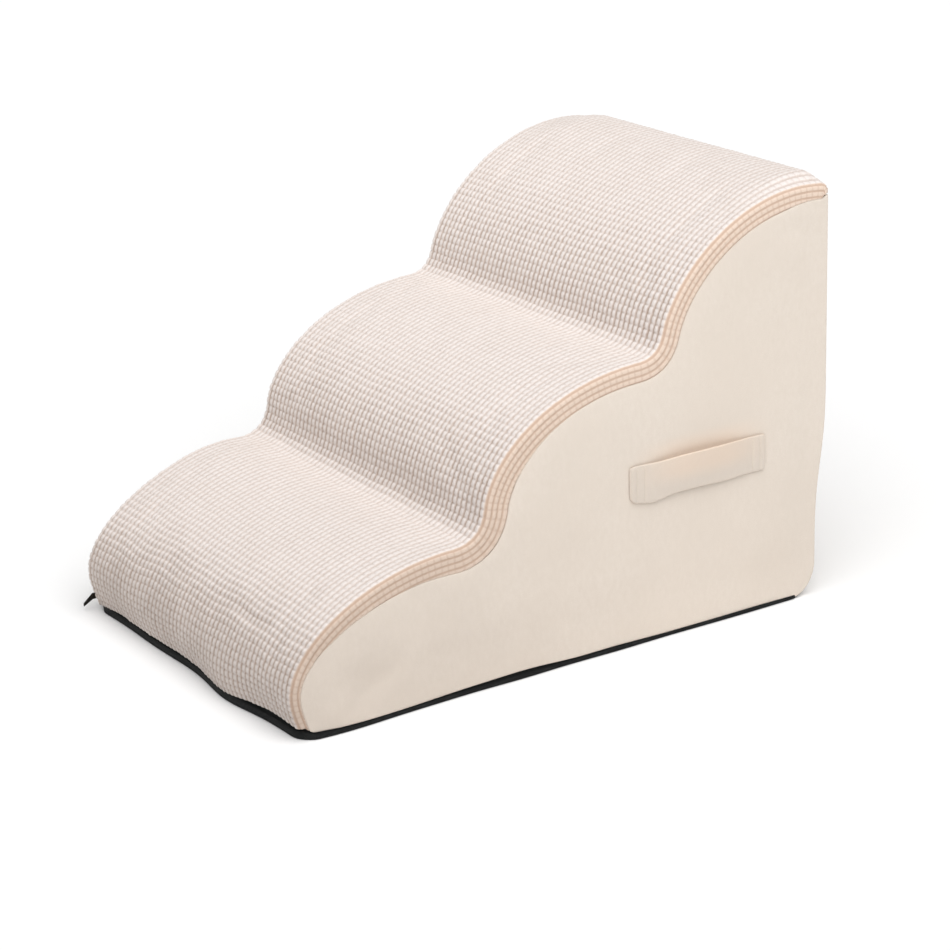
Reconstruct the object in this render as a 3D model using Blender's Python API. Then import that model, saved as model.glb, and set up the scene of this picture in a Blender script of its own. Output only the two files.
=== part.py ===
"""Three-step foam ramp for dogs: a foam core in a sewn, zipped cover with a carrying strap.

The low front end faces -Y, the strap is on +X, the zip on -X, and Z is up. The origin is the centre of the
base on the floor. Sizes are in metres. A side outline is a list of (y, z) points.
"""

import math
from collections import namedtuple

import bmesh
import bpy
from mathutils import Matrix, Vector

# Whole object
WIDTH = 0.400
LENGTH = 0.600
HALF = WIDTH / 2
FRONT = -LENGTH / 2
BACK = LENGTH / 2

# Sewn layers: every skin is this thick, and touching pieces keep this gap
SKIN = 0.003
GAP = 0.0003
RIM = 0.006  # height of the black rim of the base
EDGE = 0.006  # rounding where the top cover folds on to the sides

# Side profile. Each step is a Bezier curve from the foot of its nose to the end of its tread. Places are
# (distance from the front, height), directions are degrees from +Y towards +Z, handles are lengths.
Step = namedtuple("Step", "foot rise_deg rise_handle end end_deg end_handle")
STEPS = (
    Step((-0.009, 0.043), 90, 0.047, (0.165, 0.144), 1, 0.092),
    Step((0.201, 0.174), 81, 0.045, (0.373, 0.279), 2, 0.103),
    Step((0.403, 0.301), 75, 0.059, (0.593, 0.414), -8, 0.095),
)
HEM = (0.0, RIM + GAP)
TAIL = (LENGTH, 0.413)
HEM_DEG = 108
HEM_HANDLE = 0.013
VALLEY_HANDLE = 0.45  # of the distance across the valley
HEM_SEGMENTS = 4
NOSE_SEGMENTS = 14
VALLEY_SEGMENTS = 6

# Back: straight down, then drawn in towards a rounded bottom corner
TUCK_TOP = 0.215
TUCK_BOTTOM = 0.060
TUCK = 0.012
TUCK_SEGMENTS = 5
HEEL_RADIUS = 0.030
HEEL_SEGMENTS = 7

# Border of waffle fabric on the side faces
BORDER = 0.018
BORDER_AT_HEM = 0.009
BORDER_GROWS = 0.200  # path length over which the border reaches its full width
BORDER_SWELL = 0.006  # extra width in the first valley
SWELL_AT = 0.310
SWELL_SPREAD = 0.080

# Zip along the left bottom edge
ZIP_Z = 0.014
ZIP_START = 0.010
ZIP_END = 0.550
ZIP_REACH = 0.0085  # from the middle of the zip to the hem above it
SLOT = 0.0006  # half the slit between the two coils
COIL_WIDE = 0.003
COIL_THICK = 0.0023
TAPE_THICK = 0.001
TAPE_EDGE = 0.0012  # from the middle of the zip to the inner edge of a tape
UPPER_TAPE_TOP = 0.030
LOWER_TAPE_BOTTOM = SKIN + GAP
STOP_LONG = 0.002
SLIDER_LONG = 0.012
SLIDER_HALF = 0.0054
PLATE = 0.0013
LUG_HALF = 0.0012
LUG_LONG = 0.006
LUG_BAR = 0.001
LUG_RISE = 0.0035
PULL_LONG = 0.033
PULL_HALF = 0.0030
PULL_THICK = 0.0012
PULL_WINDOW_HALF = 0.0017
PULL_WINDOW = (0.0011, 0.0060)  # from the hinge axis to the near and far end of the window
PULL_BEND = 0.023  # from the hinge axis to where the tip droops
PULL_DROOP = 0.007
FOAM_NOTCH = 0.0065
FOAM_CHAMFER = 0.005

# Carrying strap on the right side
STRAP_THICK = 0.003
STRAP_FRONT = 0.360
STRAP_REAR = 0.521
STRAP_SEWN = 0.018
STRAP_LOW = 0.146
STRAP_HIGH = 0.182
STRAP_BOW_LOW = 0.006
STRAP_BOW_HIGH = 0.012
STRAP_CORNER = 0.006
STRAP_STATIONS = 20
CORNER_SEGMENTS = 4


def clear_scene():
    for obj in list(bpy.data.objects):
        bpy.data.objects.remove(obj)


def make_material(name, colour, roughness, metallic=0.0):
    material = bpy.data.materials.new(name)
    material.use_nodes = True
    shader = material.node_tree.nodes["Principled BSDF"]
    shader.inputs["Base Color"].default_value = (*colour, 1.0)
    shader.inputs["Roughness"].default_value = roughness
    shader.inputs["Metallic"].default_value = metallic
    material.diffuse_color = (*colour, 1.0)
    return material


def add_object(name, bm, material):
    bmesh.ops.recalc_face_normals(bm, faces=bm.faces)
    mesh = bpy.data.meshes.new(name)
    bm.to_mesh(mesh)
    bm.free()
    mesh.materials.append(material)
    obj = bpy.data.objects.new(name, mesh)
    bpy.context.scene.collection.objects.link(obj)
    return obj


def set_origin(obj, point):
    """Moves the object's origin to a point and leaves its shape where it is."""
    obj.data.transform(Matrix.Translation(-Vector(point)))
    obj.location = point


def box(bm, low, high):
    """Adds a box between two corners."""
    size = [b - a for a, b in zip(low, high)]
    middle = [(a + b) / 2 for a, b in zip(low, high)]
    matrix = Matrix.Translation(middle) @ Matrix.Diagonal((*size, 1.0))
    bmesh.ops.create_cube(bm, size=1.0, matrix=matrix)


def prism(outline, x_low, x_high):
    """A side outline extruded along X."""
    bm = bmesh.new()
    face = bm.faces.new([bm.verts.new((x_low, y, z)) for y, z in outline])
    made = bmesh.ops.extrude_face_region(bm, geom=[face])["geom"]
    moved = [v for v in made if isinstance(v, bmesh.types.BMVert)]
    bmesh.ops.translate(bm, verts=moved, vec=(x_high - x_low, 0, 0))
    return bm


def skin_rings(rings):
    """Joins closed rings of points, one after another, and caps both ends."""
    bm = bmesh.new()
    loops = [[bm.verts.new(point) for point in ring] for ring in rings]
    for near, far in zip(loops, loops[1:]):
        for i, corner in enumerate(near):
            bm.faces.new((corner, near[i - 1], far[i - 1], far[i]))
    bm.faces.new(loops[0])
    bm.faces.new(loops[-1][::-1])
    return bm


def modifier_boolean(obj, cutter, operation):
    cutter.hide_render = True
    cutter.display_type = "WIRE"
    boolean = obj.modifiers.new(operation.title(), "BOOLEAN")
    boolean.operation = operation
    boolean.solver = "EXACT"
    boolean.object = cutter


def unit(degrees):
    return Vector((math.cos(math.radians(degrees)), math.sin(math.radians(degrees))))


def bezier(start, handle_out, end, handle_in, segments):
    """Points along a Bezier curve, without its last one. The handles are vectors along the curve."""
    a = Vector(start)
    b = a + handle_out
    d = Vector(end)
    c = d - handle_in
    points = []
    for i in range(segments):
        t = i / segments
        s = 1 - t
        points.append(a * s**3 + b * 3 * s * s * t + c * 3 * s * t * t + d * t**3)
    return points


def top_path():
    """The outer line of the top cover, from the front hem over the steps to the back edge."""
    nose = STEPS[0]
    points = bezier(
        HEM, unit(HEM_DEG) * HEM_HANDLE, nose.foot, unit(nose.rise_deg) * HEM_HANDLE, HEM_SEGMENTS
    )
    for i, step in enumerate(STEPS):
        rise = unit(step.rise_deg) * step.rise_handle
        fall = unit(step.end_deg) * step.end_handle
        points += bezier(step.foot, rise, step.end, fall, NOSE_SEGMENTS)
        if i + 1 < len(STEPS):
            after = STEPS[i + 1]
            reach = (Vector(after.foot) - Vector(step.end)).length * VALLEY_HANDLE
            out = unit(step.end_deg) * reach
            into = unit(after.rise_deg) * reach
            points += bezier(step.end, out, after.foot, into, VALLEY_SEGMENTS)
    points += [Vector(STEPS[-1].end), Vector(TAIL)]
    return [Vector((FRONT + p.x, p.y)) for p in points]


def back_path():
    """The outer line of the back, from the top edge down and round the heel to the floor."""
    drawn_in = Vector((BACK - TUCK, TUCK_BOTTOM))
    reach = Vector((0, (TUCK_BOTTOM - TUCK_TOP) / 2))
    points = [Vector((BACK, TAIL[1]))]
    points += bezier((BACK, TUCK_TOP), reach, drawn_in, reach, TUCK_SEGMENTS)
    points.append(drawn_in)
    centre = Vector((BACK - TUCK - HEEL_RADIUS, HEEL_RADIUS))
    for i in range(HEEL_SEGMENTS + 1):
        points.append(centre + unit(-90 * i / HEEL_SEGMENTS) * HEEL_RADIUS)
    return points


def inset(path, depths, first, last):
    """The path moved into the material. first and last are the directions at its two ends."""
    moved = []
    for i, point in enumerate(path):
        if i == 0:
            normal = Vector(first)
        elif i == len(path) - 1:
            normal = Vector(last)
        else:
            along = (path[i + 1] - path[i - 1]).normalized()
            normal = Vector((along.y, -along.x))
        moved.append(point + normal * depths[i])
    return moved


def inset_top(path, depths):
    return inset(path, depths, (1, 0), (0, -1))


def inset_back(path, depth):
    return inset(path, [depth] * len(path), (-1, 0), (0, 1))


def border_widths(path):
    """How far the waffle fabric reaches on to the side face at each point of the path."""
    widths = []
    length = 0.0
    for i, point in enumerate(path):
        if i:
            length += (point - path[i - 1]).length
        t = min(1.0, length / BORDER_GROWS)
        swell = BORDER_SWELL * math.exp(-(((length - SWELL_AT) / SWELL_SPREAD) ** 2))
        widths.append(BORDER_AT_HEM + (BORDER - BORDER_AT_HEM) * t * t * (3 - 2 * t) + swell)
    return widths


def cut_below(path, height):
    """The start of a falling path, down to a height."""
    kept = [path[0]]
    for before, after in zip(path, path[1:]):
        if after.y <= height:
            kept.append(before.lerp(after, (before.y - height) / (before.y - after.y)))
            break
        kept.append(after)
    return kept


def fold_section(side, flange):
    """Corner points of the top cover on one side, as (x, depth), outer points first."""
    outer = [(HALF, flange), (HALF, EDGE)]
    inner = [(HALF - SKIN, flange), (HALF - SKIN, EDGE)]
    centre = Vector((HALF - EDGE, EDGE))
    for degrees in (-30, -60, -90):
        outer.append(centre + unit(degrees) * EDGE)
        inner.append(centre + unit(degrees) * (EDGE - SKIN))
    return [[(side * x, depth) for x, depth in points] for points in (outer, inner)]


def make_top_cover(material):
    path = top_path()
    borders = border_widths(path)
    sections = []
    for width in borders:
        right_out, right_in = fold_section(1, width)
        left_out, left_in = fold_section(-1, width)
        sections.append(right_out + left_out[::-1] + left_in + right_in[::-1])
    columns = []
    for k in range(len(sections[0])):
        depths = [section[k][1] for section in sections]
        columns.append(inset_top(path, depths))
    rings = []
    for i, section in enumerate(sections):
        rings.append([(section[k][0], *columns[k][i]) for k in range(len(section))])
    return add_object("top_cover", skin_rings(rings), material)


def make_foam_core(material):
    """The foam block, with a notch along its left bottom edge where the zip lies."""
    inner = SKIN + GAP
    path = top_path()
    top = inset_top(path, [inner] * len(path))
    back = inset_back(back_path(), inner)
    corner = Vector((BACK - inner, top[-1].y))
    outline = [Vector((FRONT + inner, inner))] + top[:-1] + [corner] + back[1:]
    foam = add_object("foam_core", prism(outline, -HALF + inner, HALF - inner), material)
    bevel = foam.modifiers.new("Edges", "BEVEL")
    bevel.width = FOAM_CHAMFER
    bevel.segments = 1
    bevel.limit_method = "ANGLE"
    bevel.angle_limit = math.radians(60)
    notch = bmesh.new()
    box(
        notch,
        (-HALF - FOAM_NOTCH, FRONT - FOAM_NOTCH, -FOAM_NOTCH),
        (-HALF + FOAM_NOTCH, BACK - TUCK - HEEL_RADIUS, UPPER_TAPE_TOP + GAP),
    )
    cutter = add_object("notch_cutter", notch, material)
    modifier_boolean(foam, cutter, "DIFFERENCE")
    return foam


def side_outline(bottom_line):
    """A side panel's outline: inside the border, down the back, round the heel, and along the bottom."""
    path = top_path()
    seam = inset_top(path, [width + GAP for width in border_widths(path)])
    back = cut_below(back_path(), RIM + GAP)
    upper = [Vector((BACK, seam[-1].y))] + back[1:]
    bottom = [Vector(point) for point in bottom_line]
    start = bottom[-1].y
    front = [point for point in seam[:-1] if point.y > start + GAP]
    return front + upper + bottom


def make_side_panels(material):
    low = RIM + GAP
    hem = ZIP_Z + ZIP_REACH
    front_low = FRONT + BORDER_AT_HEM + GAP
    zip_rear = FRONT + ZIP_END + STOP_LONG + 2 * GAP
    right = prism(side_outline([(front_low, low)]), HALF - SKIN, HALF)
    left_line = [(zip_rear, low), (zip_rear, hem), (front_low, hem)]
    left = prism(side_outline(left_line), -HALF, -HALF + SKIN)
    add_object("side_panel_right", right, material)
    add_object("side_panel_left", left, material)


def make_back_panel(material):
    """A sheet down the back and round the heel, with its top corners cut for the fold of the top cover."""
    outer = cut_below(back_path(), RIM + GAP)
    top = TAIL[1] - SKIN - GAP
    outer[:1] = [Vector((BACK, top)), Vector((BACK, top - FOAM_CHAMFER))]
    lower_end = (outer[-2] - outer[-1]).orthogonal().normalized()
    inner = inset(outer, [SKIN] * len(outer), (-1, 0), lower_end)
    full = HALF - SKIN - GAP
    rings = []
    for i, (out, back) in enumerate(zip(outer, inner)):
        side = full if i else full - FOAM_CHAMFER
        rings.append([(-side, *out), (side, *out), (side, *back), (-side, *back)])
    return add_object("back_panel", skin_rings(rings), material)


def make_base_panel(material):
    """A shallow tray of anti-slip fabric, curved up at the heel."""
    heel = back_path()[-HEEL_SEGMENTS - 1 :]
    rising = cut_below(heel, RIM)
    outline = [Vector((FRONT, 0)), Vector((FRONT, RIM)), rising[-1]]
    outline += [point for point in heel if point.y < RIM - GAP]
    base = add_object("base_panel", prism(outline, -HALF, HALF), material)
    inner = inset_back(heel, SKIN)
    over = 2 * RIM
    hollow = [Vector((FRONT + SKIN, SKIN)), Vector((FRONT + SKIN, over)), Vector((inner[0].x, over))]
    hollow += [point for point in inner if point.y < over]
    cutter = add_object("base_cutter", prism(hollow, -HALF + SKIN, HALF - SKIN), material)
    modifier_boolean(base, cutter, "DIFFERENCE")
    return base


def zip_layers():
    """Places along X of the zip's layers, from the outside in."""
    tape_out = -HALF + SKIN + GAP
    coil_in = tape_out - GAP
    coil_out = coil_in - COIL_THICK
    tape_in = tape_out + TAPE_THICK
    return coil_out, coil_in, tape_out, tape_in


def make_zip_sides(tape_material, coil_material, stop_material):
    """The upper and the lower half of the zip: tape, coil and top stop."""
    coil_out, coil_in, tape_out, tape_in = zip_layers()
    start = FRONT + ZIP_START
    end = FRONT + ZIP_END
    halves = (("upper", 1, UPPER_TAPE_TOP), ("lower", -1, LOWER_TAPE_BOTTOM))
    for name, side, far_edge in halves:
        near_edge = ZIP_Z + side * TAPE_EDGE
        low, high = sorted((near_edge, far_edge))
        tape = bmesh.new()
        box(tape, (tape_out, start, low), (tape_in, end, high))
        add_object("zip_tape_" + name, tape, tape_material)
        low, high = sorted((ZIP_Z + side * SLOT, ZIP_Z + side * (SLOT + COIL_WIDE)))
        coil = bmesh.new()
        box(coil, (coil_out, start + STOP_LONG + GAP, low), (coil_in, end - STOP_LONG - GAP, high))
        add_object("zip_coil_" + name, coil, coil_material)
        stop = bmesh.new()
        box(stop, (coil_out, start, low), (coil_in, start + STOP_LONG, high))
        add_object("zip_top_stop_" + name, stop, stop_material)


def make_bottom_stop(material):
    coil_out, coil_in, _, _ = zip_layers()
    reach = SLOT + COIL_WIDE
    end = FRONT + ZIP_END
    bm = bmesh.new()
    box(bm, (coil_out, end - STOP_LONG, ZIP_Z - reach), (coil_in, end, ZIP_Z + reach))
    return add_object("zip_bottom_stop", bm, material)


def slider_start():
    return FRONT + ZIP_START + STOP_LONG + 2 * GAP


def pull_axis():
    """The vertical line that the pull turns on, inside the slider's lug."""
    coil_out, _, _, _ = zip_layers()
    plate_out = coil_out - GAP - PLATE
    return Vector((plate_out - (LUG_RISE - LUG_BAR) / 2, slider_start() + SLIDER_LONG / 2, ZIP_Z))


def slider_parts():
    """The boxes that make the slider: outer plate, inner plate, post, flanges and lug."""
    coil_out, _, _, tape_in = zip_layers()
    near = slider_start()
    far = near + SLIDER_LONG
    plate_in = coil_out - GAP
    plate_out = plate_in - PLATE
    inner_out = tape_in + GAP
    post_half = SLOT - GAP / 2
    low = ZIP_Z - SLIDER_HALF
    high = ZIP_Z + SLIDER_HALF
    flange = SLIDER_HALF - SLOT - COIL_WIDE - 2 * GAP
    flange_in = coil_out + COIL_THICK / 2
    lug_top = plate_out - LUG_RISE
    lug_near = (near + far - LUG_LONG) / 2
    lug_far = lug_near + LUG_LONG
    lug_low = ZIP_Z - LUG_HALF
    lug_high = ZIP_Z + LUG_HALF
    sink = PLATE / 2
    return (
        ((plate_out, near, low), (plate_in, far, high)),
        ((inner_out, near, low), (inner_out + PLATE, far, high)),
        ((plate_in - sink, near, ZIP_Z - post_half), (inner_out + sink, far, ZIP_Z + post_half)),
        ((plate_in - sink, near, low), (flange_in, far, low + flange)),
        ((plate_in - sink, near, high - flange), (flange_in, far, high)),
        ((lug_top, lug_near, lug_low), (plate_out + sink, lug_near + LUG_BAR, lug_high)),
        ((lug_top, lug_far - LUG_BAR, lug_low), (plate_out + sink, lug_far, lug_high)),
        ((lug_top, lug_near, lug_low), (lug_top + LUG_BAR, lug_far, lug_high)),
    )


def make_zip_slider(material):
    """The slider: its boxes joined into one body."""
    slider = None
    for i, (low, high) in enumerate(slider_parts()):
        bm = bmesh.new()
        box(bm, low, high)
        if slider is None:
            slider = add_object("zip_slider", bm, material)
        else:
            piece = add_object("slider_piece_" + str(i), bm, material)
            modifier_boolean(slider, piece, "UNION")
    return slider


def make_zip_pull(material):
    """A flat tab with a window round the slider's lug. It lies forward and its tip droops."""
    axis = pull_axis()
    near, far = PULL_WINDOW
    stations = ((-near, 0.0), (PULL_BEND, 0.0), (PULL_LONG, PULL_DROOP))
    rings = []
    for forward, droop in stations:
        half = PULL_HALF if forward < PULL_LONG else PULL_HALF / 2
        rings.append(
            [
                (axis.x + dx, axis.y - forward, ZIP_Z - droop + dz)
                for dx, dz in (
                    (-PULL_THICK / 2, -half),
                    (PULL_THICK / 2, -half),
                    (PULL_THICK / 2, half),
                    (-PULL_THICK / 2, half),
                )
            ]
        )
    pull = add_object("zip_pull", skin_rings(rings), material)
    window = bmesh.new()
    box(
        window,
        (axis.x - PULL_THICK, axis.y - far, ZIP_Z - PULL_WINDOW_HALF),
        (axis.x + PULL_THICK, axis.y - near + PULL_THICK / 2, ZIP_Z + PULL_WINDOW_HALF),
    )
    cutter = add_object("window_cutter", window, material)
    modifier_boolean(pull, cutter, "DIFFERENCE")
    return pull


def strap_ring(y, bow_low, bow_high):
    """One section of the strap, which stands off the side face by bow_low and bow_high at its two edges."""
    face = HALF + GAP
    return [
        (face + bow_low, y, STRAP_LOW),
        (face + bow_low + STRAP_THICK, y, STRAP_LOW),
        (face + bow_high + STRAP_THICK, y, STRAP_HIGH),
        (face + bow_high, y, STRAP_HIGH),
    ]


def make_handle_span(material):
    """The free middle of the strap, bowed away from the side face."""
    start = FRONT + STRAP_FRONT + STRAP_SEWN + GAP
    end = FRONT + STRAP_REAR - STRAP_SEWN - GAP
    rings = []
    for i in range(STRAP_STATIONS + 1):
        t = i / STRAP_STATIONS
        rise = math.sin(math.pi * t) ** 2
        rings.append(strap_ring(start + (end - start) * t, STRAP_BOW_LOW * rise, STRAP_BOW_HIGH * rise))
    span = add_object("handle_span", skin_rings(rings), material)
    set_origin(span, (HALF + GAP + STRAP_THICK / 2, (start + end) / 2, STRAP_LOW))
    return span


def make_handle_end(name, outer, inward, material):
    """One sewn end of the strap, with its two outer corners rounded."""
    outline = []
    for height, turn in ((STRAP_LOW, -1), (STRAP_HIGH, 1)):
        centre = Vector((outer + inward * STRAP_CORNER, height - turn * STRAP_CORNER))
        arc = []
        for i in range(CORNER_SEGMENTS + 1):
            angle = math.radians(90 * i / CORNER_SEGMENTS)
            side = -inward * math.cos(angle) * STRAP_CORNER
            up = turn * math.sin(angle) * STRAP_CORNER
            arc.append(centre + Vector((side, up)))
        straight = Vector((outer + inward * STRAP_SEWN, height))
        points = arc + [straight]
        outline += points[::-1] if turn < 0 else points
    face = HALF + GAP
    return add_object(name, prism(outline, face, face + STRAP_THICK), material)


def build():
    clear_scene()
    waffle = make_material("waffle_plush", (0.80, 0.72, 0.65), 0.95)
    plain = make_material("plain_velvet", (0.79, 0.70, 0.59), 0.9)
    foam = make_material("foam", (0.86, 0.83, 0.72), 0.95)
    grip = make_material("antislip_fabric", (0.02, 0.022, 0.024), 0.85)
    tape = make_material("zip_tape", (0.03, 0.03, 0.032), 0.9)
    coil = make_material("zip_coil", (0.02, 0.02, 0.022), 0.5)
    metal = make_material("zip_metal", (0.05, 0.05, 0.055), 0.45, 0.8)
    make_foam_core(foam)
    make_top_cover(waffle)
    make_side_panels(plain)
    make_back_panel(plain)
    make_base_panel(grip)
    make_zip_sides(tape, coil, metal)
    make_bottom_stop(metal)
    slider = make_zip_slider(metal)
    set_origin(slider, (-HALF, slider_start(), ZIP_Z))
    pull = make_zip_pull(metal)
    set_origin(pull, pull_axis())
    make_handle_span(plain)
    make_handle_end("handle_end_front", FRONT + STRAP_FRONT, 1, plain)
    make_handle_end("handle_end_rear", FRONT + STRAP_REAR, -1, plain)


build()
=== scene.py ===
"""Looks of the three-step foam ramp for dogs: waffle plush tread, plain sides, anti-slip base, strap and zip.

Everything is in metres, in the frame of the CAD model: the low front end faces -Y, the strap is on +X, the
zip on -X, and the origin is the middle of the base on the floor. A side outline is an array of (y, z) points.
"""

import math

import bmesh
import bpy
import numpy as np
from mathutils import Matrix, Vector, geometry, kdtree


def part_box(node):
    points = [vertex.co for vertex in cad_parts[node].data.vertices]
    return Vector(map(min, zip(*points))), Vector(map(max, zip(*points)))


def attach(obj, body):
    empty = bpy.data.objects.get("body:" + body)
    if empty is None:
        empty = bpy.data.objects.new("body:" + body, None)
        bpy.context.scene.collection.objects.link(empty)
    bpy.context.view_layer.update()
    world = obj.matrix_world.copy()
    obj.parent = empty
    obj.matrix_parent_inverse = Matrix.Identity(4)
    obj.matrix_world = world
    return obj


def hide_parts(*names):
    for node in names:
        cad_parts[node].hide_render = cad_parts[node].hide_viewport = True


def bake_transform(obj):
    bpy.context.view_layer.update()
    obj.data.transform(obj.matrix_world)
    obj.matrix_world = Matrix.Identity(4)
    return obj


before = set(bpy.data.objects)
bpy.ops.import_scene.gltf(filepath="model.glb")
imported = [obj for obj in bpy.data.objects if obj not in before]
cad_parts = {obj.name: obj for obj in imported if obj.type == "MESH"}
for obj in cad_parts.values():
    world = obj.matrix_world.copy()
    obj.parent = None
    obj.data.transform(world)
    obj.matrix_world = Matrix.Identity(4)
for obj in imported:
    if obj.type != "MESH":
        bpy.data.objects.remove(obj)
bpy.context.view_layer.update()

BODY = "ramp"
_, COVER_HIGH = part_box("top_cover")
BASE_LOW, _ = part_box("base_panel")
HALF = COVER_HIGH.x
BACK = COVER_HIGH.y
FRONT = BASE_LOW.y
LENGTH = BACK - FRONT

# Side profile: the same steps as the CAD model, as (distance from the front, height). Each step is a Bezier
# curve: foot of the nose, direction in degrees, handle, end of the tread, direction, handle.
STEPS = (
    ((-0.009, 0.043), 90, 0.047, (0.165, 0.144), 1, 0.092),
    ((0.201, 0.174), 81, 0.045, (0.373, 0.279), 2, 0.103),
    ((0.403, 0.301), 75, 0.059, (0.593, 0.414), -8, 0.095),
)
HEM_START = (0.0, 0.0063)
HEM_DEG = 108
HEM_HANDLE = 0.013
VALLEY_HANDLE = 0.45
TUCK_TOP = 0.215
TUCK_BOTTOM = 0.060
TUCK = 0.012
HEEL_RADIUS = 0.0335
HEEL_END = -68  # degrees round the heel, where the back meets the base
FLAP = 0.004  # tread fabric below the rounded top edge of the back
CURVE_STEP = 0.0005

# Tread fabric
CELL_ACROSS = 0.0071
CELL_ALONG = 0.0073
TUFT = 0.0017  # height of a tuft over its grooves
GROOVE_ACROSS = 0.17  # half width of a groove, as a share of a cell
GROOVE_ALONG = 0.15
BORDER_CELL = 0.0058  # the fabric is drawn together on the side faces
EDGE = 0.006  # radius of the fold on to the side faces
TREAD_BASE = -0.0009  # the backing's place, measured outwards from the CAD skin
TREAD_BACK = -0.0024
BORDER = 0.0192  # how far the tread fabric reaches on to a side face
BORDER_AT_HEM = 0.009
BORDER_GROWS = 0.200  # length from the hem to its full width
BORDER_SWELL = 0.006  # wider by this at the first inner corner
SWELL_AT = 0.310
SWELL_SPREAD = 0.080
BORDER_AT_CORNER = 0.0150  # at the back's top edge
BORDER_TAPERS = 0.060
BORDER_CELLS = 4
CROWN = 0.0088  # the top step stands up between its side folds
LEFT_LIFT = 0.0042  # the left end of the first tread stands up a little
VALLEYS = (0.303, 0.565)  # lengths of the inner corners between the steps
FOLD_MIDDLE = HALF - EDGE + EDGE * math.pi / 4  # from the middle of the tread to half way round a side fold
COLUMNS_HALF = round(FOLD_MIDDLE / CELL_ACROSS)
PHASES_ACROSS = (0.0, 0.22, 0.5, 0.78)  # where a cell has points, as shares of it
PHASES_ALONG = (0.0, 0.22, 0.78)
MARKS = (  # pressed into the pile: length along the line, its spread, x, its spread, depth
    (0.084, 0.006, 0.093, 0.035, 0.0016),
    (0.426, 0.004, 0.050, 0.020, 0.0007),
)

# Relaxed cover
SIMULATED_FRAMES = 20
MOST_SHIFT = 0.0032  # the cloth moves no further than this
SHIFT_TREAD = 0.45  # shares of the shift that each part takes
SHIFT_SIDES = 0.6

# Plain panels
CLOTH = 0.0012  # thickness
SLOT_END = 0.2526  # rear end of the slot in the left panel for the zip
SLOT_LOW, SLOT_HIGH = 0.0063, 0.0225
FOAM_INSET = 0.0080  # from the cover's skin to the foam
FOAM_FLOOR = 0.0045  # height of the foam's underside
SEAM_GAP = 0.0001
RIGHT_FOOT = 0.0075  # height of the right panel's foot at the front
CORNER_INSET = 0.0012  # from the upright back edges to the panels that meet there
SEAM_ROLL = 0.0008  # how far a panel's edge turns in at a seam
SEAM_REACH = 0.0030
BASE_CORNERS = (0.0185, 0.006)  # radii at the front and at the back
TUCKED = 0.0019  # how far the rim of the base is tucked in behind the hems
POINT_STEP = 0.0055


def srgb(red, green, blue):
    """A colour written as 0 to 255, as the linear values that shaders take."""
    linear = []
    for value in (red, green, blue):
        share = value / 255
        linear.append(share / 12.92 if share <= 0.04045 else ((share + 0.055) / 1.055) ** 2.4)
    return (*linear, 1.0)


# ---- curves


def unit(degrees):
    return np.array([math.cos(math.radians(degrees)), math.sin(math.radians(degrees))])


def bezier(start, handle_out, end, handle_in, count=120):
    """Points along a Bezier curve, without its last one."""
    a = np.array(start, float)
    d = np.array(end, float)
    b = a + handle_out
    c = d - handle_in
    t = np.linspace(0, 1, count, endpoint=False)[:, None]
    s = 1 - t
    return a * s**3 + 3 * b * s * s * t + 3 * c * s * t * t + d * t**3


def smooth(t):
    t = np.clip(t, 0, 1)
    return t * t * (3 - 2 * t)


def bump(x, centre, spread):
    return np.exp(-(((x - centre) / spread) ** 2))


def lengths_of(points):
    """How far each point is along the line through the points."""
    return np.r_[0, np.cumsum(np.linalg.norm(np.diff(points, axis=0), axis=1))]


def at_length(s, lengths, values):
    """The values at lengths s, from a row of values for each of the lengths."""
    return np.stack([np.interp(s, lengths, column) for column in values.T], -1)


def ripple(a, b, wavelength, seed):
    """A smooth random height of about 1 over two coordinates, made of a few waves."""
    count = 7
    rng = np.random.RandomState(seed)
    total = np.zeros(np.broadcast(a, b).shape)
    for _ in range(count):
        angle = rng.uniform(0, 2 * math.pi)
        size = 2 * math.pi / (wavelength * rng.uniform(0.7, 1.6))
        phase = rng.uniform(0, 2 * math.pi)
        total += np.sin((a * math.cos(angle) + b * math.sin(angle)) * size + phase)
    return total / math.sqrt(count)


class Line:
    """A smooth line in the (y, z) plane, with the outward direction on its left."""

    def __init__(self, points):
        points = np.array(points, float)
        steps = np.linalg.norm(np.diff(points, axis=0), axis=1)
        points = points[np.r_[True, steps > 1e-7]]
        lengths = lengths_of(points)
        self.length = lengths[-1]
        self.s = np.linspace(0, self.length, int(self.length / CURVE_STEP))
        self.points = at_length(self.s, lengths, points)
        along = np.gradient(self.points, self.s, axis=0)
        along /= np.linalg.norm(along, axis=1)[:, None]
        self.out = np.stack([-along[:, 1], along[:, 0]], 1)

    def place(self, s):
        """Points and outward directions at lengths s."""
        out = at_length(s, self.s, self.out)
        return at_length(s, self.s, self.points), out / np.linalg.norm(out, axis=-1)[..., None]


def arc(centre, radius, start_deg, end_deg, count=40):
    angles = np.radians(np.linspace(start_deg, end_deg, count))
    return np.array(centre) + radius * np.stack([np.cos(angles), np.sin(angles)], 1)


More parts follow.
